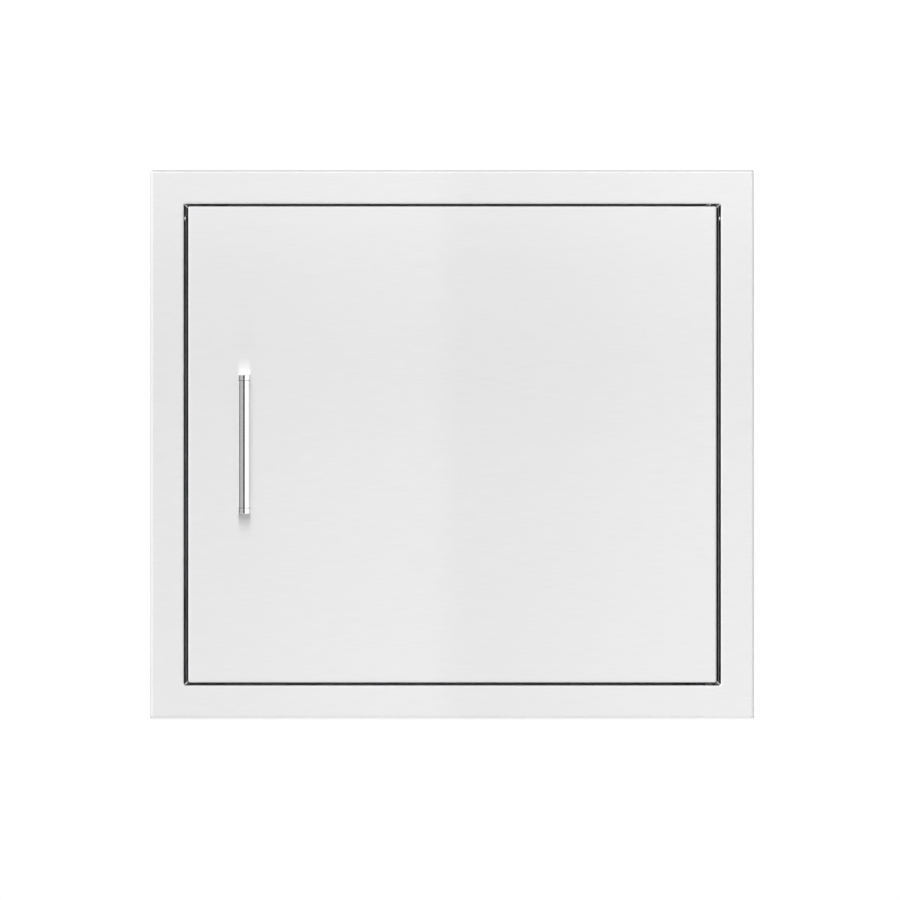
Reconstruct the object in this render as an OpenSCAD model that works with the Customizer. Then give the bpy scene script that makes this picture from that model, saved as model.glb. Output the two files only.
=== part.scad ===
// Flush access door for an outdoor kitchen island: a bent sheet trim frame with a
// sleeve that fills the cut-out, and a double-walled door on pivot pins inside it.
// Front view is along +Y. X is to the right, Z is up, and the wall's face is y = 0.

/* [Trim frame] */
// Width of the trim over its outer edges
frame_w = 609.6; // [560:0.1:660]
// Height of the trim over its outer edges
frame_h = 554; // [510:1:600]
// Width of the flat face from the outer edge to the opening
face_w = 34.4; // [28:0.1:42]
// How far the face stands in front of the wall
trim_depth = 12; // [10:0.5:16]
// How far the sleeve reaches behind the wall's face
sleeve_depth = 57; // [50:1:90]
// Thickness of the frame's sheet
frame_sheet = 1.5; // [1.2:0.1:1.8]
// Outside radius of the bend at the trim's outer edge
frame_bend_r = 3; // [2.5:0.1:4]
// Outside radius of the bend into the opening
opening_bend_r = 2; // [2:0.1:2.6]
// Radius of the opening's corners, seen from the front
opening_corner_r = 2.5; // [2:0.1:5]
// Depth over which the opening's corners are welded
weld_depth = 8; // [5:0.5:12]
// Open seam between two sleeve walls behind the weld, measured on each wall
seam_gap = 0.4; // [0.2:0.1:1]

/* [Door stop] */
// Distance from the frame's front face back to the stop
stop_setback = 24; // [22:0.5:30]
// Width of the stop
stop_w = 22; // [20:0.5:30]
// Depth of the stop's flange along the sleeve wall
stop_flange = 20; // [16:0.5:24]
// Depth of the stiffening return on the stop's inner edge
stop_return = 6; // [4:0.5:10]
// Thickness of the stop's sheet
stop_sheet = 1.2; // [1:0.1:1.5]
// Outside radius of the stop's bends
stop_bend_r = 2; // [1.8:0.1:2.6]
// Open joint on each side of a mitre
mitre_gap = 0.3; // [0.2:0.1:0.6]

/* [Door] */
// Gap between door and frame at each side
side_gap = 3.8; // [3.5:0.1:5]
// Gap above the door
top_gap = 2.2; // [2:0.1:4]
// Gap below the door
bottom_gap = 2.6; // [2.5:0.1:4.5]
// Thickness of the door
door_depth = 20; // [18:0.5:21]
// Thickness of the door's outer sheet
skin_sheet = 1.2; // [1:0.1:1.5]
// Thickness of the door's inner sheet
liner_sheet = 0.9; // [0.7:0.1:1.2]
// Outside radius of the outer pan's bends and corners
door_bend_r = 2; // [1.8:0.1:3]
// Outside radius of the inner pan's bends and corners
liner_bend_r = 2; // [1.5:0.1:3]
// Clearance between the two nested pans
pan_clearance = 0.1; // [0.05:0.05:0.3]
// Gap between the inner pan's front edge and the outer sheet
liner_edge_gap = 1; // [1:0.1:1.3]
// Width of the flat border round the pressed field in the inner sheet
field_border = 42; // [38:1:50]
// Depth of the pressed field
field_press = 3; // [2.6:0.1:5]
// Corner radius of the pressed field
field_corner_r = 14; // [8:1:30]
// Inside radius of the bends round the pressed field
field_bend_r = 0.7; // [0.4:0.1:0.8]

/* [Handle] */
// Diameter of the handle's bar
bar_d = 12; // [10:0.5:16]
// Wall of the bar's tube
bar_wall = 1; // [0.8:0.1:1.5]
// Length of the bar between its two end pieces
bar_len = 128; // [96:1:192]
// Height of each end piece
handle_end_t = 6; // [6:0.5:10]
// How far an end piece stands proud of the bar all round
handle_end_proud = 0.2; // [0.1:0.1:1]
// Clear space for fingers between the bar and the door
finger_gap = 24; // [20:1:40]
// Distance from the door's free edge to the middle of the bar
handle_inset = 57; // [52:0.1:90]
// Length of the spigot inside the bar
spigot_len = 7; // [4:0.5:12]
// Diameter of the handle's screws
handle_screw_d = 3; // [2.5:0.5:3.5]
// Thickness of the washers under the handle's screws
handle_washer_t = 0.8; // [0.5:0.1:1.2]
// How far a handle screw reaches into its end piece
handle_screw_grip = 9; // [6:0.5:14]
// Length of the stiffener behind the handle
stiffener_len = 300; // [220:5:400]
// Width of the stiffener's crown
stiffener_crown = 26; // [20:1:40]
// Width of each flange of the stiffener
stiffener_flange = 14; // [10:1:20]
// Thickness of the stiffener's sheet
stiffener_sheet = 1.2; // [1:0.1:1.5]

/* [Hinge] */
// Diameter of both hinge pins
pin_d = 6; // [5:0.5:6.5]
// Distance from the hinge axis to the door's hinge edge
hinge_inset = 8; // [7.6:0.1:9]
// Distance from the door's front face back to the hinge axis
hinge_setback = 7; // [6.9:0.1:8]
// Wall of the hinge bushes
bush_wall = 1; // [0.8:0.1:1.1]
// Width of a bush's flange beyond its sleeve
bush_rim = 1.1; // [0.8:0.1:1.2]
// Thickness of a bush's flange
bush_flange_t = 1.1; // [0.9:0.1:1.2]
// Length of a door bush's sleeve
bush_sleeve = 7; // [6:0.5:10]
// Thickness of the thrust washer under the door
washer_t = 1.3; // [1:0.1:1.4]
// How far the lower pin reaches into the door
lower_pin_reach = 9.5; // [8:0.5:14]
// Thickness of the lower pin's head below the sill
lower_pin_head_t = 2; // [1.5:0.1:3]
// Thickness of the plate that backs the lower bush
hinge_plate_t = 3; // [2:0.5:4]
// Length of the plate that backs the lower bush
hinge_plate_len = 44; // [30:1:60]

/* [Spring pin] */
// How far the upper pin stands above its frame bush
pin_stand = 2; // [1:0.5:4]
// Travel of the upper pin
pin_travel = 8; // [7.5:0.5:9]
// Thickness of the lever
lever_t = 2; // [1.5:0.1:3]
// Distance from the pin to the lever's finger tab
lever_arm = 14.6; // [14:0.1:18]
// How far the finger tab stands out of the inner sheet
tab_reach = 12; // [8:0.5:16]
// Width of the finger tab
tab_w = 5; // [4:0.5:6]
// Width of the lever
lever_w = 6; // [5:0.5:8]
// Free height between the stop's inner edge and the lever
lever_drop = 1.5; // [1:0.1:4]
// Thickness of the pin's collar
collar_t = 1.5; // [1:0.1:2.5]
// How far the pin's collar stands out round the pin
collar_rim = 1.9; // [1.6:0.1:2.1]
// How far the pin reaches below its guide
pin_tail = 6; // [3:0.5:12]
// Length of the spring when the pin is up
spring_len = 21; // [19:0.5:30]
// Wire diameter of the spring
wire_d = 1; // [0.8:0.1:1]
// Number of turns in the spring
spring_turns = 8; // [6:1:9]
// Thickness of the guide bracket's sheet
guide_sheet = 2; // [1.5:0.1:2.5]

/* [Corner brackets] */
// Thickness of the brackets
bracket_t = 2; // [1.5:0.1:3]
// Length of each leg of a bracket
bracket_leg = 28; // [27:0.5:40]
// Depth of each bracket along the sleeve
bracket_depth = 19; // [16:0.5:24]
// Distance from the opening's top down to the jamb screws
jamb_screw_drop = 14.5; // [12:0.5:20]
// Distance from the front face back to the jamb screws
jamb_screw_setback = 15; // [13.5:0.5:16]
// Shank diameter of the jamb screws
jamb_screw_d = 3.5; // [3:0.5:4]
// How far a screw's tip stands out of what it holds
screw_past = 2.5; // [1:0.5:4]

/* [Magnetic catches] */
// Distance from the opening's top or sill to the middle of a catch
catch_end = 77.6; // [60:0.1:120]
// Distance from the opening's side to the middle of a catch
catch_inset = 13; // [12.5:0.1:13.5]
// Width of a catch's housing
catch_w = 13.6; // [12:0.1:14]
// Height of the block that holds the magnet
catch_block = 30; // [28:1:34]
// Height of each screw ear
catch_ear = 8; // [7:0.5:12]
// Depth of the housing behind the stop
catch_depth = 15; // [13:0.5:20]
// Thickness of a catch's screw ears
catch_ear_t = 4; // [3:0.5:6]
// Height of the magnet
magnet_len = 24; // [20:1:25]
// Thickness of the magnet
magnet_t = 5; // [3:0.1:5]
// Thickness of a pole plate
pole_t = 1.5; // [1:0.1:1.5]
// Depth of the magnet
magnet_depth = 9; // [6:0.5:10]
// Air gap between pole plates and strike plate
pole_gap = 0.3; // [0.2:0.1:0.6]
// Shank diameter of the catch screws
catch_screw_d = 3; // [2.5:0.5:3]
// Thickness of a strike plate
strike_t = 1.2; // [1:0.1:1.5]
// Width of a strike plate
strike_w = 10.4; // [9.4:0.1:10.6]
// Height of a strike plate
strike_len = 42; // [38:1:50]
// Diameter of the rivets that hold the strike plates
rivet_d = 3; // [2.5:0.5:3.5]
// Thickness of a rivet's heads
rivet_head_t = 0.8; // [0.6:0.1:1.2]

/* [Bumpers] */
// Distance from the opening's side to the bumpers
bumper_inset = 36; // [32:1:80]
// Diameter of a bumper's head
bumper_d = 9; // [7:0.5:10]
// Clearance between a closed door and its bumpers
bumper_gap = 0.3; // [0.2:0.1:0.5]
// Diameter of a bumper's stem
bumper_stem_d = 4; // [3:0.5:5]
// Length of a bumper's barb behind the stop
bumper_barb = 2.5; // [1.5:0.5:4]

/* [Fixing holes] */
// Diameter of the fixing holes in the sleeve
fixing_d = 5; // [4:0.5:7]
// Distance of the fixing holes from the sleeve's rear edge
fixing_edge = 12; // [8:0.5:16]
// Distance from the opening's corners to the nearest fixing hole along each wall
fixing_corner = 82.6; // [60:0.1:120]

/* [Hidden] */
$fn = 64;
RIGHT = 0;
HEAD = 1;
LEFT = 2;
SILL = 3;

// Running fit of a pin in its bush, on the radius
running = 0.05;
// Fit of a fixed piece in its hole, on the radius
snug = 0.05;
// Loose fit of a screw in its hole, on the radius
loose = 0.2;
// Strip of a bend's section that runs into the flat sheet beside it
lap = 1;
// How far a cut runs past the piece that it cuts
over = 1;
// Distance from a piece on a flat sheet to the sheet's bend
bend_clear = 0.2;
// Distance from a corner bracket to the bend in front of it
bracket_clear = 0.3;
// Inside radius of the bends in brackets and stiffener
bracket_inner_r = 1;
// Chamfer on the tips of the pins
pin_tip = 1;
// Play between the pin's collar and the guide's upper leg
collar_play = 0.1;
// How far the lever's ring stands out past the collar
lever_ring = 0.3;
// Play of the spring round the pin
coil_play = 0.35;
// Play of the finger tab at each side of its slot, and at each end
slot_play = 0.5;
slot_end_play = 1;
// Distance from the hinge plate and the guide's legs to the outer sheet
plate_clear = 0.4;
leg_clear = 0.5;
// How much further the hinge plate reaches behind its bush than in front of it
plate_back = 2;
// Proportions of pan heads, in shank diameters
head_d_ratio = 1.75;
head_h_ratio = 0.45;
// Height of the handle screws' heads, in shank diameters
handle_head_h_ratio = 0.63;
// Diameters of washers, rivet heads and bumper barbs, in shank diameters
washer_d_ratio = 2.4;
rivet_head_ratio = 1.5;
barb_ratio = 1.5;

// Main planes along Y
face_y = -trim_depth;
stop_y = face_y + stop_setback;
door_back_y = face_y + door_depth;
sleeve_end_y = sleeve_depth;
weld_y = face_y + weld_depth;

// Opening of the frame, and the door in it
opening_w = frame_w - 2 * face_w;
opening_h = frame_h - 2 * face_w;
opening_x = opening_w / 2;
opening_z = opening_h / 2;
door_w = opening_w - 2 * side_gap;
door_h = opening_h - top_gap - bottom_gap;
door_x = door_w / 2;
door_top_z = opening_z - top_gap;
door_bottom_z = bottom_gap - opening_z;
door_mid_z = (door_top_z + door_bottom_z) / 2;

// The inner pan, nested in the outer one
liner_w = door_w - 2 * (skin_sheet + pan_clearance);
liner_h = door_h - 2 * (skin_sheet + pan_clearance);
liner_edge_y = face_y + skin_sheet + liner_edge_gap;
liner_flat_x = liner_w / 2 - liner_bend_r - bend_clear;
field_w = door_w - 2 * field_border;
field_h = door_h - 2 * field_border;
field_y = door_back_y - field_press;
cavity_front_y = face_y + skin_sheet;

// Hinge axis and its fits
hinge_x = door_x - hinge_inset;
hinge_y = face_y + hinge_setback;
pin_r = pin_d / 2;
bush_bore_r = pin_r + running;
bush_r = bush_bore_r + bush_wall;
bush_hole_r = bush_r + snug;
bush_flange_r = bush_r + bush_rim;
return_stack = skin_sheet + pan_clearance + liner_sheet;
bracket_top_z = opening_z + frame_sheet + bracket_t;
bracket_front_y = face_y + opening_bend_r + bracket_clear;
pin_top_z = bracket_top_z + bush_flange_t + pin_stand;

// Lever, guide and spring, from the stop's inner edge down
lever_top_z = opening_z - stop_w - lever_drop;
lever_z = lever_top_z - lever_t;
guide_top_z = lever_top_z + collar_t + collar_play + guide_sheet;
guide_bottom_z = lever_z - spring_len - guide_sheet;
pin_bottom_z = guide_bottom_z - pin_tail;
collar_r = pin_r + collar_rim;
lever_ring_r = collar_r + lever_ring;
tab_x = hinge_x - lever_arm;
coil_r = pin_r + coil_play + wire_d / 2;

// Handle
bar_r = bar_d / 2;
bar_bore_r = bar_r - bar_wall;
bar_x = handle_inset - door_x;
bar_y = face_y - finger_gap - bar_r;
handle_screw_r = handle_screw_d / 2;
handle_screw_rise = (bar_len + handle_end_t) / 2;

// Catches
catch_x = catch_inset - opening_x;
catch_rise = opening_z - catch_end;
catch_screw_rise = (catch_block + catch_ear) / 2;
catch_screw_r = catch_screw_d / 2;
housing_y = stop_y + stop_sheet;
pole_y = door_back_y + strike_t + pole_gap;
pocket_w = magnet_t + 2 * pole_t;
rivet_r = rivet_d / 2;
rivet_rise = (magnet_len / 2 + strike_len / 2) / 2;

// Bumpers, midway across the head and sill stops
bumper_x = opening_x - bumper_inset;
bumper_z = opening_z - stop_w / 2;
bumper_stem_r = bumper_stem_d / 2;

// Fixing holes
fixing_y = sleeve_end_y - fixing_edge;

// Stands a flat drawing up: its x stays X, its y becomes Z, and its height runs along +Y
module upright() rotate([90, 0, 0]) mirror([0, 0, 1]) children();

// Turns a shape's axis from Z to Y, with its height running along +Y
module along_y() rotate([-90, 0, 0]) children();

// Turns a shape's axis from Z to X, with its height running along +X
module along_x() rotate([0, 90, 0]) children();

// The same at both sides of the middle plane
module both_sides() {
    children();
    mirror([1, 0, 0]) children();
}

// Quarter of a ring of sheet, one bend, in the quadrant that starts at the given angle
module bend(outer_r, sheet, angle) {
    rotate(angle) intersection() {
        difference() {
            circle(r = outer_r);
            circle(r = outer_r - sheet);
        }
        square(outer_r + over);
    }
}

// Rectangle with round corners, about its middle
module rounded_rect(w, h, r) {
    square([w - 2 * r, h], center = true);
    square([w, h - 2 * r], center = true);
    for (x = [-1, 1], y = [-1, 1])
        translate([x * (w / 2 - r), y * (h / 2 - r)]) circle(r = r);
}

// Flat part of a panel whose edges bend away, about its middle
module flat_panel(w, h, bend_r) {
    square([2 * (w / 2 - bend_r), 2 * (h / 2 - bend_r)], center = true);
}

// Runs a section round a rectangle with round corners. The section's x is the distance
// outward from the rectangle's line, and its y is the depth. A second section, where there
// is one, goes round the corners. What would pass a corner's own centre is left out there.
module sweep_rect(w, h, r) {
    reach = w + h;
    for (side = [RIGHT : SILL]) {
        across = (side % 2 == 0 ? w : h) / 2;
        along = (side % 2 == 0 ? h : w) / 2 - r;
        rotate(90 * side) {
            translate([across, along, 0]) rotate([90, 0, 0])
                linear_extrude(2 * along) children(0);
            translate([across - r, along, 0]) rotate_extrude(angle = 90) intersection() {
                translate([r, 0]) children($children - 1);
                translate([0, -reach]) square(2 * reach);
            }
        }
    }
}

// Sheet that steps from one level up to the next: both bends and the web between them,
// starting at x = 0 on the lower level, with a strip of each level
module jog(rise, sheet, inner_r) {
    outer_r = inner_r + sheet;
    translate([-lap, 0]) square([lap, sheet]);
    translate([inner_r + outer_r, rise]) square([lap, sheet]);
    translate([0, outer_r]) bend(outer_r, sheet, 270);
    translate([inner_r, outer_r]) square([sheet, rise - outer_r - inner_r]);
    translate([inner_r + outer_r, rise - inner_r]) bend(outer_r, sheet, 90);
}

// Screw or rivet along +Z with a round head below z = 0
module pan_screw(shank_r, length, head_r, head_h) {
    translate([0, 0, -head_h]) cylinder(r = head_r, h = head_h);
    cylinder(r = shank_r, h = length);
}

// Flanged bush along +Z: flange below z = 0, sleeve above
module bush(flange_t, sleeve) {
    difference() {
        union() {
            translate([0, 0, -flange_t]) cylinder(r = bush_flange_r, h = flange_t);
            cylinder(r = bush_r, h = sleeve);
        }
        translate([0, 0, -flange_t - over])
            cylinder(r = bush_bore_r, h = flange_t + sleeve + 2 * over);
    }
}

// Section of the trim's outer edge: bend, then the return to the wall
module outer_return_section() {
    translate([-frame_bend_r - lap, face_y]) square([lap, frame_sheet]);
    translate([-frame_bend_r, face_y + frame_bend_r]) bend(frame_bend_r, frame_sheet, 270);
    translate([-frame_sheet, face_y + frame_bend_r])
        square([frame_sheet, -face_y - frame_bend_r]);
}

// Section of the opening's edge: bend, then the sleeve back to the given depth
module opening_return_section(end_y) {
    translate([opening_bend_r, face_y]) square([lap, frame_sheet]);
    translate([opening_bend_r, face_y + opening_bend_r]) bend(opening_bend_r, frame_sheet, 180);
    translate([0, face_y + opening_bend_r])
        square([frame_sheet, end_y - face_y - opening_bend_r]);
}

// The four sleeve walls behind the weld, each reaching to an open seam at its ends
module sleeve_walls() {
    for (side = [RIGHT : SILL]) {
        across = side % 2 == 0 ? opening_x : opening_z;
        along = (side % 2 == 0 ? opening_z : opening_x) - seam_gap;
        rotate(90 * side) translate([across, -along, weld_y])
            cube([frame_sheet, 2 * along, sleeve_end_y - weld_y]);
    }
}

module frame_holes() {
    wall = frame_sheet + 2 * over;
    both_sides() {
        // Upper bush, and lower pin: the side that isn't used lets the door be hung there
        translate([hinge_x, hinge_y, opening_z - over]) cylinder(r = bush_hole_r, h = wall);
        translate([hinge_x, hinge_y, -opening_z + over - wall])
            cylinder(r = pin_r + snug, h = wall);
        translate([opening_x - over, face_y + jamb_screw_setback, opening_z - jamb_screw_drop])
            along_x() cylinder(d = jamb_screw_d + 2 * loose, h = wall);
        for (end = [-1, 1]) {
            translate([opening_x - over, fixing_y, end * (opening_z - fixing_corner)])
                along_x() cylinder(d = fixing_d, h = wall);
            translate([opening_x - fixing_corner, fixing_y,
                       end * (opening_z + frame_sheet / 2) - wall / 2])
                cylinder(d = fixing_d, h = wall);
        }
    }
}

module face_frame() {
    color("gainsboro") difference() {
        upright() {
            translate([0, 0, face_y]) linear_extrude(frame_sheet) difference() {
                flat_panel(frame_w, frame_h, frame_bend_r);
                rounded_rect(2 * (opening_x + opening_bend_r), 2 * (opening_z + opening_bend_r),
                             opening_corner_r + opening_bend_r);
            }
            sweep_rect(frame_w, frame_h, frame_bend_r) outer_return_section();
            sweep_rect(opening_w, opening_h, opening_corner_r) {
                opening_return_section(sleeve_end_y);
                opening_return_section(weld_y);
            }
            sleeve_walls();
        }
        frame_holes();
    }
}

// Section of a stop, with the sleeve wall at x = 0 and its front face at depth 0
module stop_section() {
    inner_x = -stop_w;
    translate([inner_x + stop_bend_r, 0]) square([stop_w - 2 * stop_bend_r, stop_sheet]);
    translate([-stop_bend_r, stop_bend_r]) bend(stop_bend_r, stop_sheet, 270);
    translate([-stop_sheet, stop_bend_r]) square([stop_sheet, stop_flange - stop_bend_r]);
    translate([inner_x + stop_bend_r, stop_bend_r]) bend(stop_bend_r, stop_sheet, 180);
    translate([inner_x, stop_bend_r]) square([stop_sheet, stop_return - stop_bend_r]);
}

// One side of the stop, mitred at both ends
module stop(side) {
    across = side % 2 == 0 ? opening_x : opening_z;
    along = side % 2 == 0 ? opening_z : opening_x;
    cut = stop_w + over;
    wide = along + over - mitre_gap;
    narrow = along - cut - mitre_gap;
    upright() rotate(90 * side) translate([0, 0, stop_y]) intersection() {
        translate([across, along, 0]) rotate([90, 0, 0]) linear_extrude(2 * along) stop_section();
        linear_extrude(stop_flange) polygon([[across + over, wide], [across - cut, narrow],
                                             [across - cut, -narrow], [across + over, -wide]]);
    }
}

// Holes through a stop for a magnetic catch, about the catch's middle
module catch_holes() {
    through = stop_sheet + 2 * over;
    translate([-pocket_w / 2 - loose, stop_y - over, -magnet_len / 2 - loose])
        cube([pocket_w + 2 * loose, through, magnet_len + 2 * loose]);
    for (end = [-1, 1])
        translate([0, stop_y - over, end * catch_screw_rise])
            along_y() cylinder(r = catch_screw_r + loose, h = through);
}

// Places a shape at both catches, about the catch's middle
module at_catches() {
    for (end = [-1, 1]) translate([catch_x, 0, end * catch_rise]) children();
}

module stop_left() {
    color("silver") difference() {
        stop(LEFT);
        at_catches() catch_holes();
    }
}

module stop_right() {
    color("silver") stop(RIGHT);
}

module bumper_holes(z) {
    both_sides() translate([bumper_x, stop_y - over, z])
        along_y() cylinder(r = bumper_stem_r + snug, h = stop_sheet + 2 * over);
}

module stop_head() {
    color("silver") difference() {
        stop(HEAD);
        bumper_holes(bumper_z);
    }
}

module stop_sill() {
    color("silver") difference() {
        stop(SILL);
        bumper_holes(-bumper_z);
    }
}

// Angle bracket round the outside of an upper corner of the sleeve
module corner_bracket() {
    bend_r = bracket_t + bracket_inner_r;
    outer_x = opening_x + frame_sheet + bracket_t;
    screw_z = opening_z - jamb_screw_drop;
    difference() {
        translate([0, bracket_front_y, 0]) upright() linear_extrude(bracket_depth) {
            translate([outer_x - bend_r, bracket_top_z - bend_r]) bend(bend_r, bracket_t, 0);
            translate([outer_x - bracket_leg, bracket_top_z - bracket_t])
                square([bracket_leg - bend_r, bracket_t]);
            translate([outer_x - bracket_t, bracket_top_z - bracket_leg])
                square([bracket_t, bracket_leg - bend_r]);
        }
        translate([hinge_x, hinge_y, bracket_top_z - bracket_t - over])
            cylinder(r = bush_hole_r, h = bracket_t + 2 * over);
        translate([outer_x - bracket_t - over, face_y + jamb_screw_setback, screw_z])
            along_x() cylinder(r = jamb_screw_d / 2 + snug, h = bracket_t + 2 * over);
    }
}

module corner_brackets() {
    color("darkgray") both_sides() corner_bracket();
}

module jamb_screws() {
    color("whitesmoke") both_sides()
        translate([opening_x, face_y + jamb_screw_setback, opening_z - jamb_screw_drop]) along_x()
            pan_screw(jamb_screw_d / 2, frame_sheet + bracket_t + screw_past,
                      jamb_screw_d * head_d_ratio / 2, jamb_screw_d * head_h_ratio);
}

// Bush for the upper pin, flange on top of its bracket
module upper_frame_bush() {
    color("ivory") translate([hinge_x, hinge_y, bracket_top_z]) mirror([0, 0, 1])
        bush(bush_flange_t, bracket_t + frame_sheet);
}

// Fixed pin with its head below the sill
module lower_hinge_pin() {
    head_r = hinge_setback - opening_bend_r - bend_clear;
    length = frame_sheet + bottom_gap + lower_pin_reach;
    color("silver") translate([hinge_x, hinge_y, -opening_z - frame_sheet]) {
        translate([0, 0, -lower_pin_head_t]) cylinder(r = head_r, h = lower_pin_head_t);
        cylinder(r = pin_r, h = length - pin_tip);
        translate([0, 0, length - pin_tip])
            cylinder(r1 = pin_r, r2 = pin_r - pin_tip, h = pin_tip);
    }
}

module thrust_washer() {
    color("dimgray") translate([hinge_x, hinge_y, -opening_z]) difference() {
        cylinder(r = bush_flange_r, h = washer_t);
        translate([0, 0, -over]) cylinder(r = pin_r + snug, h = washer_t + 2 * over);
    }
}

// Housing of a catch behind the stop: a block with a pocket, and two screw ears
module catch_housing() {
    ears = catch_block + 2 * catch_ear;
    difference() {
        union() {
            translate([-catch_w / 2, housing_y, -ears / 2]) cube([catch_w, catch_ear_t, ears]);
            translate([-catch_w / 2, housing_y, -catch_block / 2])
                cube([catch_w, catch_depth, catch_block]);
        }
        translate([-pocket_w / 2 - snug, housing_y - over, -magnet_len / 2 - snug])
            cube([pocket_w + 2 * snug, magnet_depth + over, magnet_len + 2 * snug]);
        for (end = [-1, 1])
            translate([0, housing_y - over, end * catch_screw_rise])
                along_y() cylinder(r = catch_screw_r + snug, h = catch_ear_t + 2 * over);
    }
}

module upper_catch_housing() {
    color("#303234") translate([catch_x, 0, catch_rise]) catch_housing();
}

module lower_catch_housing() {
    color("#303234") translate([catch_x, 0, -catch_rise]) catch_housing();
}

module catch_magnets() {
    color("#46433f") at_catches() translate([-magnet_t / 2, housing_y, -magnet_len / 2])
        cube([magnet_t, magnet_depth, magnet_len]);
}

// Two steel plates either side of each magnet, reaching through the stop to the strike
module catch_pole_plates() {
    color("darkgray") at_catches() for (edge = [-1, 1])
        translate([edge * (magnet_t + pole_t) / 2 - pole_t / 2, pole_y, -magnet_len / 2])
            cube([pole_t, housing_y + magnet_depth - pole_y, magnet_len]);
}

module catch_screws() {
    color("silver") at_catches() for (end = [-1, 1])
        translate([0, stop_y, end * catch_screw_rise]) along_y()
            pan_screw(catch_screw_r, stop_sheet + catch_ear_t + screw_past,
                      catch_screw_r * head_d_ratio, catch_screw_d * head_h_ratio);
}

// Rubber bumper pushed through a hole in the stop
module bumper() {
    head = stop_y - door_back_y - bumper_gap;
    round_h = head / 2;
    head_r = bumper_d / 2;
    along_y() {
        translate([0, 0, -head]) cylinder(r1 = head_r - round_h / 2, r2 = head_r, h = round_h);
        translate([0, 0, round_h - head]) cylinder(r = head_r, h = head - round_h);
        cylinder(r = bumper_stem_r, h = stop_sheet);
        translate([0, 0, stop_sheet])
            cylinder(r1 = bumper_stem_r * barb_ratio, r2 = bumper_stem_r, h = bumper_barb);
    }
}

module bumpers() {
    color("#242424") both_sides() for (end = [-1, 1])
        translate([bumper_x, stop_y, end * bumper_z]) bumper();
}

// Section of a pan's edge: bend and return. The sheet's flat lies at depth 0 and the
// return runs towards +depth.
module pan_edge_section(bend_r, sheet, depth) {
    translate([-bend_r - lap, 0]) square([lap, sheet]);
    translate([-bend_r, bend_r]) bend(bend_r, sheet, 270);
    translate([-sheet, bend_r]) square([sheet, depth - bend_r]);
}

// Holes for the hinge in the top and bottom returns of both pans
module hinge_holes() {
    through = return_stack + 2 * over;
    translate([hinge_x, hinge_y, door_top_z - return_stack - over])
        cylinder(r = bush_hole_r, h = through);
    translate([hinge_x, hinge_y, door_bottom_z - over]) cylinder(r = bush_hole_r, h = through);
}

// Places a shape at both handle screws
module at_handle_screws(y) {
    for (end = [-1, 1])
        translate([bar_x, y, door_mid_z + end * handle_screw_rise]) children();
}

module handle_screw_holes() {
    at_handle_screws(face_y - over) along_y()
        cylinder(r = handle_screw_r + loose, h = door_depth + 2 * over);
}

// Outer pan: the face and four returns
module door_skin() {
    color("whitesmoke") difference() {
        translate([0, face_y, door_mid_z]) upright() {
            linear_extrude(skin_sheet) flat_panel(door_w, door_h, door_bend_r);
            sweep_rect(door_w, door_h, door_bend_r)
                pan_edge_section(door_bend_r, skin_sheet, door_depth);
        }
        hinge_holes();
        handle_screw_holes();
    }
}

module strike_rivet_holes() {
    at_catches() for (end = [-1, 1])
        translate([0, door_back_y - liner_sheet - over, end * rivet_rise])
            along_y() cylinder(r = rivet_r + snug, h = liner_sheet + strike_t + 2 * over);
}

// Inner pan: flat border, pressed field and returns that nest in the outer pan
module door_liner() {
    jog_w = liner_sheet + 2 * field_bend_r;
    border_y = door_back_y - liner_sheet;
    slot_h = pin_travel + lever_t + 2 * slot_end_play;
    slot_w = tab_w + 2 * slot_play;
    color("lightgray") difference() {
        translate([0, 0, door_mid_z]) upright() {
            // Flat border
            translate([0, 0, border_y]) linear_extrude(liner_sheet) difference() {
                flat_panel(liner_w, liner_h, liner_bend_r);
                rounded_rect(field_w, field_h, field_corner_r);
            }
            // Returns, running forward from the border
            mirror([0, 0, 1]) translate([0, 0, -door_back_y])
                sweep_rect(liner_w, liner_h, liner_bend_r)
                    pan_edge_section(liner_bend_r, liner_sheet, door_back_y - liner_edge_y);
            // Step down into the field
            translate([0, 0, field_y - liner_sheet]) sweep_rect(field_w, field_h, field_corner_r)
                translate([-jog_w, 0]) jog(field_press, liner_sheet, field_bend_r);
            translate([0, 0, field_y - liner_sheet]) linear_extrude(liner_sheet)
                rounded_rect(2 * (field_w / 2 - jog_w), 2 * (field_h / 2 - jog_w),
                             field_corner_r - jog_w);
        }
        hinge_holes();
        handle_screw_holes();
        strike_rivet_holes();
        translate([tab_x - slot_w / 2, border_y - over, lever_top_z + slot_end_play - slot_h])
            cube([slot_w, liner_sheet + 2 * over, slot_h]);
    }
}

// Hat section between the two sheets, behind the handle
module handle_stiffener() {
    rise = field_y - liner_sheet - stiffener_sheet - cavity_front_y;
    jog_w = stiffener_sheet + 2 * bracket_inner_r;
    half_crown = stiffener_crown / 2;
    color("silver") difference() {
        translate([bar_x, cavity_front_y, door_mid_z - stiffener_len / 2])
            linear_extrude(stiffener_len) {
                for (edge = [0, 1]) mirror([edge, 0]) {
                    translate([-half_crown - jog_w, 0])
                        jog(rise, stiffener_sheet, bracket_inner_r);
                    translate([-half_crown - jog_w - stiffener_flange, 0])
                        square([stiffener_flange, stiffener_sheet]);
                }
                translate([-half_crown, rise]) square([stiffener_crown, stiffener_sheet]);
            }
        handle_screw_holes();
    }
}

module handle_bar() {
    color("silver") translate([bar_x, bar_y, door_mid_z - bar_len / 2]) difference() {
        cylinder(r = bar_r, h = bar_len);
        translate([0, 0, -over]) cylinder(r = bar_bore_r, h = bar_len + 2 * over);
    }
}

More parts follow.
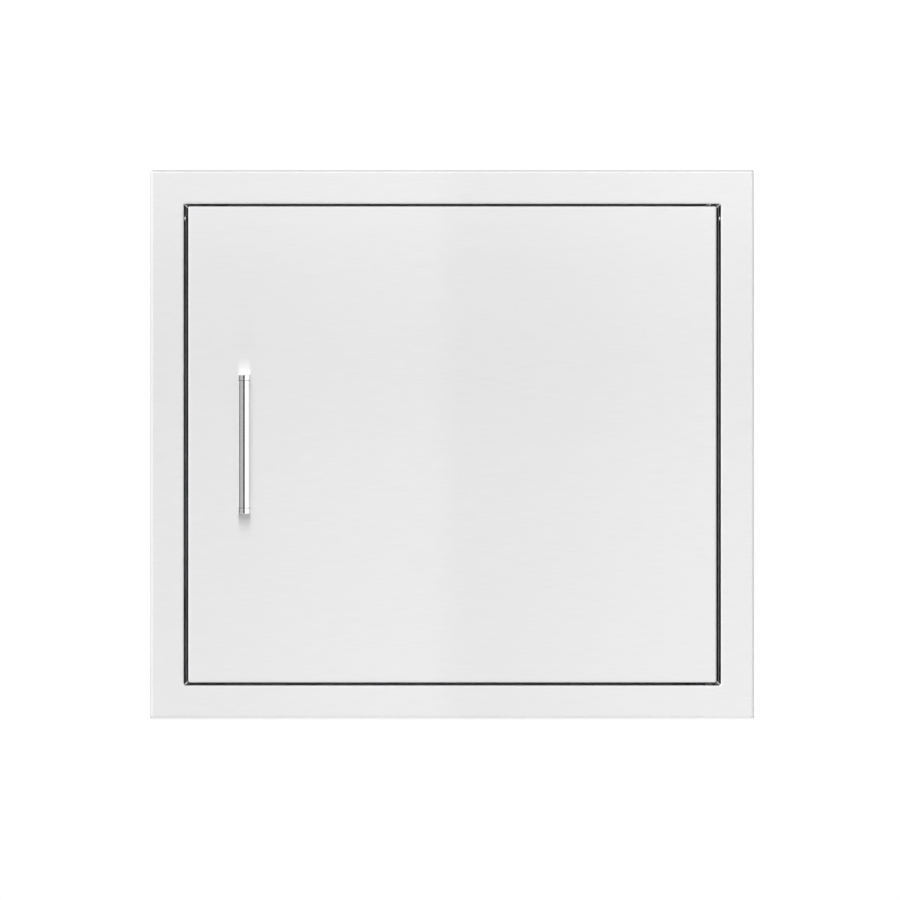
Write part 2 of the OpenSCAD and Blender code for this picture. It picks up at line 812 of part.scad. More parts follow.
// End piece of the handle: round nose, flat foot on the door, spigot down into the bar
module handle_end() {
    nose_r = bar_r + handle_end_proud;
    foot = face_y - bar_y;
    translate([bar_x, bar_y, 0]) difference() {
        union() {
            cylinder(r = nose_r, h = handle_end_t);
            translate([-nose_r, 0, 0]) cube([2 * nose_r, foot, handle_end_t]);
            translate([0, 0, -spigot_len])
                cylinder(r = bar_bore_r - snug, h = spigot_len + handle_end_t / 2);
        }
        translate([0, foot - handle_screw_grip - over, handle_end_t / 2]) along_y()
            cylinder(r = handle_screw_r + snug, h = handle_screw_grip + 2 * over);
    }
}

module handle_end_upper() {
    color("silver") translate([0, 0, door_mid_z + bar_len / 2]) handle_end();
}

module handle_end_lower() {
    color("silver") translate([0, 0, door_mid_z - bar_len / 2]) mirror([0, 0, 1]) handle_end();
}

module handle_washers() {
    color("silver") at_handle_screws(field_y) along_y() difference() {
        cylinder(r = handle_screw_r * washer_d_ratio, h = handle_washer_t);
        translate([0, 0, -over])
            cylinder(r = handle_screw_r + loose, h = handle_washer_t + 2 * over);
    }
}

module handle_screws() {
    length = field_y + handle_washer_t - face_y + handle_screw_grip;
    color("silver") at_handle_screws(field_y + handle_washer_t) rotate([90, 0, 0])
        pan_screw(handle_screw_r, length, handle_screw_r * head_d_ratio,
                  handle_screw_d * handle_head_h_ratio);
}

module strike_plates() {
    color("darkgray") difference() {
        at_catches() translate([-strike_w / 2, door_back_y, -strike_len / 2])
            cube([strike_w, strike_t, strike_len]);
        strike_rivet_holes();
    }
}

module strike_rivets() {
    head_r = rivet_r * rivet_head_ratio;
    color("silver") at_catches() for (end = [-1, 1])
        translate([0, door_back_y + strike_t, end * rivet_rise]) rotate([90, 0, 0]) {
            pan_screw(rivet_r, strike_t + liner_sheet, head_r, rivet_head_t);
            translate([0, 0, strike_t + liner_sheet]) cylinder(r = head_r, h = rivet_head_t);
        }
}

module lower_door_bush() {
    color("ivory") translate([hinge_x, hinge_y, door_bottom_z]) bush(bush_flange_t, bush_sleeve);
}

module upper_door_bush() {
    color("ivory") translate([hinge_x, hinge_y, door_top_z]) mirror([0, 0, 1])
        bush(bush_flange_t, bush_sleeve);
}

// Plate on the bottom return that backs the lower bush
module lower_hinge_plate() {
    plate_z = door_bottom_z + return_stack;
    front_y = cavity_front_y + plate_clear;
    color("silver") difference() {
        translate([liner_flat_x - hinge_plate_len, front_y, plate_z])
            cube([hinge_plate_len, 2 * (hinge_y - front_y) + plate_back, hinge_plate_t]);
        translate([hinge_x, hinge_y, plate_z - over])
            cylinder(r = bush_hole_r, h = hinge_plate_t + 2 * over);
    }
}

// Bracket on the inner sheet's border with two legs that guide the upper pin
module pin_guide() {
    back_y = door_back_y - liner_sheet;
    leg = back_y - cavity_front_y - leg_clear;
    height = guide_top_z - guide_bottom_z;
    width = 2 * (liner_flat_x - hinge_x);
    bend_r = bracket_inner_r + guide_sheet;
    color("darkgray") difference() {
        translate([hinge_x - width / 2, back_y, guide_bottom_z]) rotate([90, 0, 90])
            linear_extrude(width) {
                translate([-guide_sheet, bend_r]) square([guide_sheet, height - 2 * bend_r]);
                translate([-bend_r, bend_r]) bend(bend_r, guide_sheet, 270);
                translate([-bend_r, height - bend_r]) bend(bend_r, guide_sheet, 0);
                for (z = [0, height - guide_sheet])
                    translate([-leg, z]) square([leg - bend_r, guide_sheet]);
            }
        translate([hinge_x, hinge_y, guide_bottom_z - over])
            cylinder(r = bush_bore_r, h = height + 2 * over);
    }
}

module upper_hinge_pin() {
    color("silver") translate([hinge_x, hinge_y, 0]) {
        translate([0, 0, pin_bottom_z])
            cylinder(r = pin_r, h = pin_top_z - pin_tip - pin_bottom_z);
        translate([0, 0, pin_top_z - pin_tip])
            cylinder(r1 = pin_r, r2 = pin_r - pin_tip, h = pin_tip);
        translate([0, 0, lever_top_z]) cylinder(r = collar_r, h = collar_t);
    }
}

// Flat lever below the collar, with a finger tab that comes out of the inner sheet
module pin_lever() {
    tab_end_y = door_back_y + tab_reach;
    color("darkgray") translate([hinge_x, hinge_y, lever_z]) difference() {
        linear_extrude(lever_t) {
            circle(r = lever_ring_r);
            translate([-lever_arm - tab_w / 2, -lever_w / 2])
                square([lever_arm + tab_w / 2, lever_w]);
            translate([-lever_arm - tab_w / 2, 0])
                square([tab_w, tab_end_y - hinge_y - tab_w / 2]);
            translate([-lever_arm, tab_end_y - hinge_y - tab_w / 2]) circle(r = tab_w / 2);
        }
        translate([0, 0, -over]) cylinder(r = pin_r + snug, h = lever_t + 2 * over);
    }
}

// Points of one ring of the spring's wire, at a turn angle and height
function wire_ring(angle, height, sides) = [
    for (k = [0 : sides - 1])
        let (a = 360 * k / sides, out = coil_r + wire_d / 2 * cos(a))
        [out * cos(angle), out * sin(angle), height + wire_d / 2 * sin(a)]
];

// Compression spring: one wire from the guide's lower leg up to the lever
module pin_spring() {
    sides = 6;
    steps_per_turn = 12;
    rings = spring_turns * steps_per_turn;
    seat = wire_d / 2 + snug;
    rise = spring_len - 2 * seat;
    points = [
        for (i = [0 : rings])
            each wire_ring(360 * i / steps_per_turn, seat + rise * i / rings, sides)
    ];
    walls = [
        for (i = [0 : rings - 1], k = [0 : sides - 1])
            let (a = i * sides + k, b = i * sides + (k + 1) % sides)
            each [[a, a + sides, b], [b, a + sides, b + sides]]
    ];
    first = [for (k = [0 : sides - 1]) k];
    last = [for (k = [sides - 1 : -1 : 0]) rings * sides + k];
    color("silver") translate([hinge_x, hinge_y, lever_z - spring_len])
        polyhedron(points, concat(walls, [first, last]), convexity = 10);
}

face_frame();
stop_left();
stop_right();
stop_head();
stop_sill();
corner_brackets();
jamb_screws();
upper_frame_bush();
lower_hinge_pin();
thrust_washer();
upper_catch_housing();
lower_catch_housing();
catch_magnets();
catch_pole_plates();
catch_screws();
bumpers();
door_skin();
door_liner();
handle_stiffener();
handle_bar();
handle_end_upper();
handle_end_lower();
handle_screws();
handle_washers();
strike_plates();
strike_rivets();
lower_door_bush();
upper_door_bush();
lower_hinge_plate();
pin_guide();
upper_hinge_pin();
pin_lever();
pin_spring();
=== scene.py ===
"""Flush access door in brushed stainless steel: finishes, fittings, floor, light and camera.

Lengths are in metres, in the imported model's frame: +X right, +Z up, and the front view is
along +Y. The wall's face would be y = 0.
"""

import math

import bmesh
import bpy
from mathutils import Matrix, Vector


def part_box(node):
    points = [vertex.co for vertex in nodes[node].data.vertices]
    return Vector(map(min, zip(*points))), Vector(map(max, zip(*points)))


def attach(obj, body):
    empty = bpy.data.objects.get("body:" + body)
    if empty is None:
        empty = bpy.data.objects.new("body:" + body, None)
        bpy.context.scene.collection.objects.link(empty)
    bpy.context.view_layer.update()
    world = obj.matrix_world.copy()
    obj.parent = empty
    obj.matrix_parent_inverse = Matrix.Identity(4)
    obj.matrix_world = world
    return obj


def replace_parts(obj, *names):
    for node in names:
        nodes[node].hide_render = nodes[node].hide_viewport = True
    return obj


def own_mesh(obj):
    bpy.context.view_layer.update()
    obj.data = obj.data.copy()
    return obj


MM = 0.001
# Corners nearer to each other than this are one corner
TOUCHING = 0.001 * MM
# Edges sharper than this stay crisp
CRISP = math.radians(32)
# Nearly all values of a noise texture lie between these
NOISE_LOW = 0.3
NOISE_HIGH = 0.7
# Length and width of the scratches as drawn, of the hairlines that show only from near, and of
# the lines that rolling leaves
GRAIN = (9 * MM, 1 * MM)
HAIRLINE = (22 * MM, 0.2 * MM)
ROLL_LINES = (30 * MM, 0.7 * MM)
# Painted sheen, light and shade in the sheets' colour across and up them, from dark at 0 to light at
# 1
SHEET_REACH = 310 * MM
PAINTED_SHEEN_ACROSS = [(-300 * MM, 0.1), (-25 * MM, 0.62), (12 * MM, 0.15), (300 * MM, 0.95)]
PAINTED_SHEEN_UPWARD = [(-270 * MM, 0.7), (-60 * MM, 0.6), (100 * MM, 0.15), (160 * MM, 0.25),
                (270 * MM, 0.9)]

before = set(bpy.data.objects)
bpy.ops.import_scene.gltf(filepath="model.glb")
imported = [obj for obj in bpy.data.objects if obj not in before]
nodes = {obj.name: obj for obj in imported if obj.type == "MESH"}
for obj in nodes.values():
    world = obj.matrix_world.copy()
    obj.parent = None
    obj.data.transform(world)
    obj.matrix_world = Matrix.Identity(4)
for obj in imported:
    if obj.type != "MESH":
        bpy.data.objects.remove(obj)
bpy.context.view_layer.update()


def linear(hex_colour):
    """Linear red, green, blue and alpha of an sRGB colour such as "c0c0c0"."""
    parts = [int(hex_colour[i:i + 2], 16) / 255 for i in (0, 2, 4)]
    return [p / 12.92 if p <= 0.04045 else ((p + 0.055) / 1.055) ** 2.4 for p in parts] + [1.0]


def fill(tree, node, inputs):
    """Fills a node's inputs. Each gets a value to set or a socket to link from."""
    for name, value in inputs.items():
        if isinstance(value, bpy.types.NodeSocket):
            tree.links.new(value, node.inputs[name])
        else:
            node.inputs[name].default_value = value


def add(tree, kind, inputs=None, **settings):
    """Adds a node with its settings and inputs."""
    made = tree.nodes.new(kind)
    for name, value in settings.items():
        setattr(made, name, value)
    fill(tree, made, inputs or {})
    return made


def set_stops(ramp, stops):
    """Gives a colour ramp its stops, each a position from 0 to 1 and a colour."""
    band = ramp.color_ramp
    while len(band.elements) > 1:
        band.elements.remove(band.elements[-1])
    band.elements[0].position, band.elements[0].color = stops[0]
    for position, colour in stops[1:]:
        band.elements.new(position).color = colour


def new_material(name):
    """A new material with its output, and a shader whose inputs are filled later."""
    material = bpy.data.materials.new(name)
    material.use_nodes = True
    tree = material.node_tree
    tree.nodes.clear()
    shader = add(tree, "ShaderNodeBsdfPrincipled")
    add(tree, "ShaderNodeOutputMaterial", {"Surface": shader.outputs["BSDF"]})
    return material, tree, shader


def facing(tree):
    """How much the surface faces X, Y and Z, each from 0 to 1."""
    normal = add(tree, "ShaderNodeTexCoord").outputs["Normal"]
    size = add(tree, "ShaderNodeVectorMath", {0: normal}, operation="ABSOLUTE")
    return add(tree, "ShaderNodeSeparateXYZ", {"Vector": size.outputs["Vector"]}).outputs


def grain_place(tree, size):
    """Object coordinates counted in scratches of a given length and width. The grain runs along
    X on the face, and the sheet carries it round its bends, so it runs along Y on walls that
    face X."""
    length, width = size
    turned_to = facing(tree)
    place = add(tree, "ShaderNodeSeparateXYZ",
                {"Vector": add(tree, "ShaderNodeTexCoord").outputs["Object"]}).outputs
    along, up = [
        add(tree, "ShaderNodeMath", {0: place["Y"], 1: turned_to[axis], 2: place[axis]},
            operation="MULTIPLY_ADD").outputs["Value"]
        for axis in ("X", "Z")]
    unrolled = add(tree, "ShaderNodeCombineXYZ", {"X": along, "Y": up}).outputs["Vector"]
    return add(tree, "ShaderNodeVectorMath", {0: unrolled, 1: (1 / length, 1 / width, 0)},
               operation="MULTIPLY").outputs["Vector"]


def across_grain(tree):
    """Direction across the grain, in which the scratches spread a reflection."""
    lies = facing(tree)["Z"]
    upright = add(tree, "ShaderNodeMath", {0: 1.0, 1: lies}, operation="SUBTRACT").outputs["Value"]
    across = add(tree, "ShaderNodeCombineXYZ", {"X": 0.0, "Y": lies, "Z": upright})
    return add(tree, "ShaderNodeVectorTransform", {"Vector": across.outputs["Vector"]},
               vector_type="VECTOR", convert_from="OBJECT", convert_to="WORLD").outputs["Vector"]


def along_axis(tree, axis, reach, stops):
    """A value that follows stops along an axis, each a place in metres and a value there."""
    place = add(tree, "ShaderNodeSeparateXYZ",
                {"Vector": add(tree, "ShaderNodeTexCoord").outputs["Object"]}).outputs[axis]
    across = add(tree, "ShaderNodeMapRange", {"Value": place, "From Min": -reach, "From Max": reach})
    ramp = add(tree, "ShaderNodeValToRGB", {"Fac": across.outputs["Result"]})
    ramp.color_ramp.interpolation = "EASE"
    set_stops(ramp, [(p / reach / 2 + 0.5, [v] * 3 + [1]) for p, v in stops])
    return ramp.outputs["Color"]


def brushed_stainless(name, dark, light, roughness, anisotropy, grain, depth, painted_sheen=None):
    """Stainless sheet rubbed one way with fine grit. The scratches spread a reflection across
    them and leave it sharp along them. Real ones are about 0.1 mm apart, too fine to show in
    the render, so they are drawn as wide as the grain given here."""
    material, tree, shader = new_material(name)
    broad_size = 6
    painted_sheen_share = 0.85
    line_contrast = 0.035
    gloss_change = 0.02
    fine, broad = [
        add(tree, "ShaderNodeTexNoise", {"Vector": grain_place(tree, [size * g for g in grain]),
                                         "Scale": 1.0, "Detail": 3.0}).outputs["Fac"]
        for size in (1, broad_size)]
    tone_and_painted_sheen = broad
    # Painted sheen: light and shade painted into the colour, lighter and darker across the sheet's
    # width and up its height
    if painted_sheen:
        painted_sheen_tone = add(tree, "ShaderNodeMix",
                    {"Factor": 0.5, "A": along_axis(tree, "X", SHEET_REACH, painted_sheen[0]),
                     "B": along_axis(tree, "Z", SHEET_REACH, painted_sheen[1])},
                    data_type="RGBA").outputs["Result"]
        tone_and_painted_sheen = add(tree, "ShaderNodeMix", {"Factor": painted_sheen_share, "A": broad, "B": painted_sheen_tone},
                   data_type="RGBA").outputs["Result"]
    colour = add(tree, "ShaderNodeMix", {"Factor": tone_and_painted_sheen, "A": linear(dark), "B": linear(light)},
                 data_type="RGBA").outputs["Result"]
    hair = add(tree, "ShaderNodeTexNoise", {"Vector": grain_place(tree, HAIRLINE), "Scale": 1.0,
                                            "Detail": 2.0}).outputs["Fac"]
    lines = add(tree, "ShaderNodeMapRange",
                {"Value": hair, "From Min": NOISE_LOW, "From Max": NOISE_HIGH,
                 "To Min": 1 - line_contrast, "To Max": 1 + line_contrast}).outputs["Result"]
    lined = add(tree, "ShaderNodeVectorMath", {0: colour, 1: lines},
                operation="MULTIPLY").outputs["Vector"]
    gloss = add(tree, "ShaderNodeMapRange",
                {"Value": fine, "From Min": NOISE_LOW, "From Max": NOISE_HIGH,
                 "To Min": roughness * (1 - gloss_change),
                 "To Max": roughness * (1 + gloss_change)}).outputs["Result"]
    bump = add(tree, "ShaderNodeBump", {"Height": fine, "Strength": 1.0, "Distance": depth})
    fill(tree, shader, {
        "Base Color": lined,
        "Metallic": 1.0,
        "Roughness": gloss,
        "Anisotropic": anisotropy,
        "Normal": bump.outputs["Normal"],
        "Tangent": across_grain(tree),
    })
    return material


def plain_finish(name, dark, light, roughness, cell, metallic=1.0, depth=0.0, spread=0.05):
    """A finish without a direction: small soft cells of colour, gloss and height."""
    material, tree, shader = new_material(name)
    place = add(tree, "ShaderNodeTexCoord").outputs["Object"]
    cells = add(tree, "ShaderNodeVectorMath", {0: place, 1: [1 / cell] * 3}, operation="MULTIPLY")
    fine = add(tree, "ShaderNodeTexNoise", {"Vector": cells.outputs["Vector"], "Scale": 1.0,
                                            "Detail": 2.0}).outputs["Fac"]
    colour = add(tree, "ShaderNodeMix", {"Factor": fine, "A": linear(dark), "B": linear(light)},
                 data_type="RGBA").outputs["Result"]
    gloss = add(tree, "ShaderNodeMapRange",
                {"Value": fine, "From Min": NOISE_LOW, "From Max": NOISE_HIGH,
                 "To Min": roughness - spread, "To Max": roughness + spread}).outputs["Result"]
    bump = add(tree, "ShaderNodeBump", {"Height": fine, "Strength": 1.0, "Distance": depth})
    fill(tree, shader, {
        "Base Color": colour,
        "Metallic": metallic,
        "Roughness": gloss,
        "Normal": bump.outputs["Normal"],
    })
    return material


def dress(material, *names):
    """Gives CAD nodes a material."""
    for name in names:
        piece = nodes[name]
        if not piece.material_slots:
            piece.data.materials.append(material)
        for slot in piece.material_slots:
            slot.material = material


# Face sheets, rubbed across their width with a fine belt: satin, with hairlines from near, and with
# light and shade painted into their colour as a soft sheen
frame_steel, door_steel = [
    brushed_stainless(name, "e5e4e5", "f6f5f6", roughness=0.28, anisotropy=1.0, grain=GRAIN,
                      depth=0.002 * MM, painted_sheen=(PAINTED_SHEEN_ACROSS, PAINTED_SHEEN_UPWARD))
    for name in ("brushed_stainless_trim", "brushed_stainless_door")]
# Inner sheet as it left the rolls: greyer and duller, with long faint roll lines
liner_steel = brushed_stainless("rolled_stainless", "d8d9da", "dedfe0", roughness=0.26,
                                anisotropy=0.5, grain=ROLL_LINES, depth=0.0008 * MM)
# Folded strip from bright rolled coil, glossy, so it mirrors the dark of the gap; painted shade
# darkens its colour too
rolled_steel_painted_shade = plain_finish("rolled_stainless_painted_shade", "8c8d8e", "969798", roughness=0.07,
                            cell=1.2 * MM, spread=0.01)
# Tube and end pieces buffed on a wheel: nearly a mirror
bar_steel = plain_finish("polished_stainless_bar", "f0f0f0", "f4f4f4", roughness=0.08,
                         cell=2 * MM, spread=0.01)
# Pressed steel in bright zinc: bluish grey, slightly cloudy
zinc_steel = plain_finish("zinc_plated_steel", "b9bdc0", "cdd0d0", roughness=0.38,
                          cell=0.8 * MM, depth=0.004 * MM)
# Screws and rivets as turned and tumbled: bright with a soft gloss
bright_steel = plain_finish("turned_stainless", "d6d6d6", "dededf", roughness=0.2,
                            cell=0.4 * MM)
# Screws in the jambs, plated pale and glossy: they glint in the gap
pale_zinc = plain_finish("pale_zinc_plating", "f4f5f5", "f8f8f8", roughness=0.08,
                         cell=0.4 * MM, spread=0.01)
# Hinge pin ground to size: smooth and a little darker
ground_steel = plain_finish("ground_pin_steel", "bcbcbc", "c4c4c4", roughness=0.07,
                            cell=0.4 * MM, spread=0.01)
# Wire drawn through a die: grey with a dull shine
spring_steel = plain_finish("drawn_spring_wire", "9c9c9d", "b0b0b1", roughness=0.3,
                            cell=0.6 * MM)
# Moulded bushes and washer: dark grey, silky
nylon = plain_finish("grey_filled_nylon", "2e2e2f", "373738", roughness=0.42,
                     cell=0.7 * MM, metallic=0.0, depth=0.004 * MM)
# Moulded catch housings: near black, with the fine texture of an eroded mould
dark_abs = plain_finish("moulded_abs", "232426", "2b2c2e", roughness=0.5,
                        cell=0.35 * MM, metallic=0.0, depth=0.02 * MM)
# Pressed and fired magnet: dull brownish black with a fine grit
ferrite = plain_finish("sintered_ferrite", "3a3835", "4a4744", roughness=0.62,
                       cell=0.25 * MM, metallic=0.0, depth=0.02 * MM)
# Moulded bumpers: black and matt. The bead at the handle's ends takes it as painted shade for each
# joint's line
rubber_and_painted_shade = plain_finish("moulded_rubber_and_painted_shade", "1e1e1e", "282828", roughness=0.72,
                      cell=0.4 * MM, metallic=0.0, depth=0.01 * MM)

dress(frame_steel, "face_frame")
dress(door_steel, "door_skin")
dress(bar_steel, "handle_bar", "handle_end_upper", "handle_end_lower")
dress(liner_steel, "door_liner")
dress(rolled_steel_painted_shade, "stop_left", "stop_right", "stop_head", "stop_sill")
dress(zinc_steel, "corner_brackets", "catch_pole_plates", "handle_stiffener", "strike_plates",
      "lower_hinge_plate", "pin_guide", "pin_lever")
dress(bright_steel, "jamb_screws", "lower_hinge_pin", "catch_screws", "handle_screws",
      "handle_washers", "strike_rivets")
dress(ground_steel, "upper_hinge_pin")
dress(nylon, "upper_frame_bush", "thrust_washer", "lower_door_bush", "upper_door_bush")
dress(dark_abs, "upper_catch_housing", "lower_catch_housing")
dress(ferrite, "catch_magnets")
dress(rubber_and_painted_shade, "bumpers")


def solids(node):
    """Lowest and highest corners of each separate solid in a CAD node."""
    mesh = nodes[node].data
    group = {}

    def first_of(key):
        while group[key] != key:
            key = group[key]
        return key

    keys = [tuple(round(c / MM, 3) for c in v.co) for v in mesh.vertices]
    for key in keys:
        group[key] = key
    for face in mesh.polygons:
        corners = [first_of(keys[v]) for v in face.vertices]
        for corner in corners[1:]:
            group[first_of(corner)] = first_of(corners[0])
    found = {}
    for key in keys:
        found.setdefault(first_of(key), []).append(key)
    return [(Vector([min(k[a] for k in ks) * MM for a in range(3)]),
             Vector([max(k[a] for k in ks) * MM for a in range(3)])) for ks in found.values()]


def crisp_edges(mesh):
    """Shades a mesh smooth between its real edges."""
    mesh.polygons.foreach_set("use_smooth", [True] * len(mesh.polygons))
    mesh.set_sharp_from_angle(angle=CRISP)


def mesh_piece(name, build, material):
    """A mesh object whose shape the given function makes in a bmesh, with crisp edges."""
    shape = bmesh.new()
    build(shape)
    bmesh.ops.recalc_face_normals(shape, faces=shape.faces)
    mesh = bpy.data.meshes.new(name)
    shape.to_mesh(mesh)
    shape.free()
    crisp_edges(mesh)
    mesh.materials.append(material)
    piece = bpy.data.objects.new(name, mesh)
    bpy.context.scene.collection.objects.link(piece)
    return piece


def turn_profile(shape, profile, sides=40):
    """Turns a profile round Z. Its points are (radius, height), and a point's radius may be a
    function of the angle. It starts and ends on the axis, or comes back to its first point."""
    rings = []
    for radius, height in profile:
        if radius == 0:
            rings.append([shape.verts.new((0, 0, height))] * sides)
            continue
        angles = [math.tau * i / sides for i in range(sides)]
        reach = [radius(a) if callable(radius) else radius for a in angles]
        rings.append([shape.verts.new((r * math.cos(a), r * math.sin(a), height))
                      for a, r in zip(angles, reach)])
    for low, high in zip(rings, rings[1:]):
        for i in range(sides):
            j = (i + 1) % sides
            corners = [low[i], low[j], high[j], high[i]]
            corners = [v for n, v in enumerate(corners) if v not in corners[:n]]
            shape.faces.new(corners)


def thread_profile(crest_r, start, end, pitch):
    """Profile of a screw's thread and its blunt tip, from one height up to another."""
    depth = 0.3 * pitch
    rings_per_turn = 6
    run_out = pitch / 2
    tip_start_r = 0.55 * crest_r
    tip_end_r = 0.4 * crest_r
    tip_h = 0.1 * MM

    def at(height):
        fade = min(1, (height - start) / run_out)

        def radius(angle):
            turn = (height / pitch - angle / math.tau) % 1
            return crest_r - depth * fade * (1 - abs(2 * turn - 1))
        return radius

    count = int((end - start - crest_r / 2) / pitch * rings_per_turn)
    heights = [start + i * pitch / rings_per_turn for i in range(count + 1)]
    tip = [(tip_start_r, end - tip_h), (tip_end_r, end), (0, end)]
    return [(at(h), h) for h in heights] + tip


def bridge(shape, first, second):
    """Joins two closed rims of as many corners with faces."""
    for i in range(len(first)):
        j = (i + 1) % len(first)
        shape.faces.new((first[i], first[j], second[j], second[i]))


def cross_recess(radius, depth):
    """Tapered cross that cuts a recess for a driver, with its top at z = 0 and pointing down."""
    half = 0.2 * radius
    floor_half = 0.7 * half
    floor_reach = radius / 3

    def build(shape):
        rims = []
        for height, reach, side in ((radius, radius, half), (0, radius, half),
                                    (-depth, floor_reach, floor_half)):
            corners = []
            for quarter in range(4):
                spin = Matrix.Rotation(math.tau * quarter / 4, 3, "Z")
                for x, y in ((side, side), (reach, side), (reach, -side)):
                    corners.append(shape.verts.new(spin @ Vector((x, -y, 0))
                                                   + Vector((0, 0, height))))
            rims.append(corners)
        for low, high in zip(rims, rims[1:]):
            bridge(shape, low, high)
        shape.faces.new(rims[0])
        shape.faces.new(rims[-1])
    return build


def combine(piece, build, operation="DIFFERENCE"):
    """Cuts a shape out of a piece or joins it on."""
    other = mesh_piece("other", build, piece.data.materials[0])
    step = piece.modifiers.new("step", "BOOLEAN")
    step.operation = operation
    step.solver = "EXACT"
    step.object = other
    ready = piece.evaluated_get(bpy.context.evaluated_depsgraph_get())
    result = bpy.data.meshes.new_from_object(ready)
    crisp_edges(result)
    piece.modifiers.clear()
    piece.data = result
    bpy.data.objects.remove(other)


def put_copy(piece, name, place, body):
    """Puts a copy of a piece in its place on a body."""
    copy = bpy.data.objects.new(name, piece.data)
    bpy.context.scene.collection.objects.link(copy)
    copy.matrix_world = place
    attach(copy, body)
    return copy


def place_copies(piece, node, body, places):
    """Puts copies of a piece where the CAD node has its solids. Each place is a point and the
    direction in which the piece's Z points."""
    for number, (point, direction) in enumerate(places, 1):
        turned = direction.to_track_quat("Z", "Y").to_matrix().to_4x4()
        copy = put_copy(piece, f"{node}_{number}", Matrix.Translation(point) @ turned, body)
        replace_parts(copy, node)
    bpy.data.objects.remove(piece)


# Outline of a pan head's crown from its middle out, as shares of the head's radius and of the
# crown's height
PAN_CROWN = [(0, 0), (0.35, 0.04), (0.6, 0.15), (0.8, 0.38), (0.93, 0.68), (1, 1)]


def pan_head_screws(node, body, axis, head_h_ratio, pitch, finish=bright_steel, crown_ratio=0.55):
    """Cross-recessed pan-head screws where a CAD node has plain ones. The axis points from head
    to tip, or is None where the screws point outwards along X."""
    head_d_ratio = 1.75
    places = []
    # A node's screws are alike, so the measures of the last one serve for all
    for low, high in solids(node):
        middle = (low + high) / 2
        direction = axis or Vector((math.copysign(1, middle.x), 0, 0))
        along = [abs(c) for c in direction].index(1)
        size = high - low
        whole = size[along]
        head_r = size[(along + 1) % 3] / 2
        shank_r = head_r / head_d_ratio
        head_h = 2 * shank_r * head_h_ratio
        places.append((middle - direction * (whole / 2 - head_h), direction))
    crown = crown_ratio * head_h
    seat_r = 0.97 * head_r
    seat_h = 0.1 * head_h
    thread_start = 0.3 * MM
    profile = [(r * head_r, h * crown - head_h) for r, h in PAN_CROWN]
    profile += [(head_r, -seat_h), (seat_r, 0), (shank_r, 0)]
    profile += thread_profile(shank_r, thread_start, whole - head_h, pitch)
    screw = mesh_piece(f"{node}_shape", lambda shape: turn_profile(shape, profile), finish)
    recess_r = 0.55 * head_r
    recess_deep = 0.8 * head_h
    recess = cross_recess(recess_r, recess_deep)

    def turned_recess(shape):
        recess(shape)
        bmesh.ops.transform(shape, verts=shape.verts, matrix=Matrix.Translation((0, 0, -head_h))
                            @ Matrix.Rotation(math.pi, 4, "X"))
    combine(screw, turned_recess)
    place_copies(screw, node, body, places)


# Outlines of a rivet's dome and of its set tail, as shares of the head's radius and height
RIVET_DOME = [(0.45, 1), (0.7, 0.85), (0.9, 0.5), (1, 0.12)]
RIVET_TAIL = [(1, 1), (0.92, 0.5), (0.6, 0.1), (0, 0)]


def blind_rivets():
    """Domed blind rivets with the stub of the mandrel in the middle of the head."""
    head_d_ratio = 1.5
    head_h = 0.8 * MM
    places = [((low + high) / 2 + Vector((0, (high - low).y / 2 - head_h, 0)), Vector((0, -1, 0)))
              for low, high in solids("strike_rivets")]
    low, high = solids("strike_rivets")[0]
    whole = high.y - low.y
    head_r = (high.z - low.z) / 2
    shank_r = head_r / head_d_ratio
    seat_r = 0.97 * head_r
    bore_r = 0.45 * shank_r
    bore_floor = 0.35 * head_h
    rim_r = 1.15 * bore_r
    rim_h = 0.93 * head_h
    stub_h = 0.55 * head_h
    stub_r = 0.8 * bore_r
    stub_edge = 0.1 * MM
    end = whole - head_h
    profile = [(0, -stub_h), (stub_r, -stub_h), (bore_r, stub_edge - stub_h),
               (bore_r, -bore_floor), (rim_r, -rim_h)]
    profile += [(r * head_r, -h * head_h) for r, h in RIVET_DOME]
    profile += [(seat_r, 0), (shank_r, 0), (shank_r, end - head_h)]
    profile += [(r * head_r, end - h * head_h) for r, h in RIVET_TAIL]
    rivet = mesh_piece("strike_rivets_shape", lambda shape: turn_profile(shape, profile),
                       bright_steel)
    place_copies(rivet, "strike_rivets", "door", places)


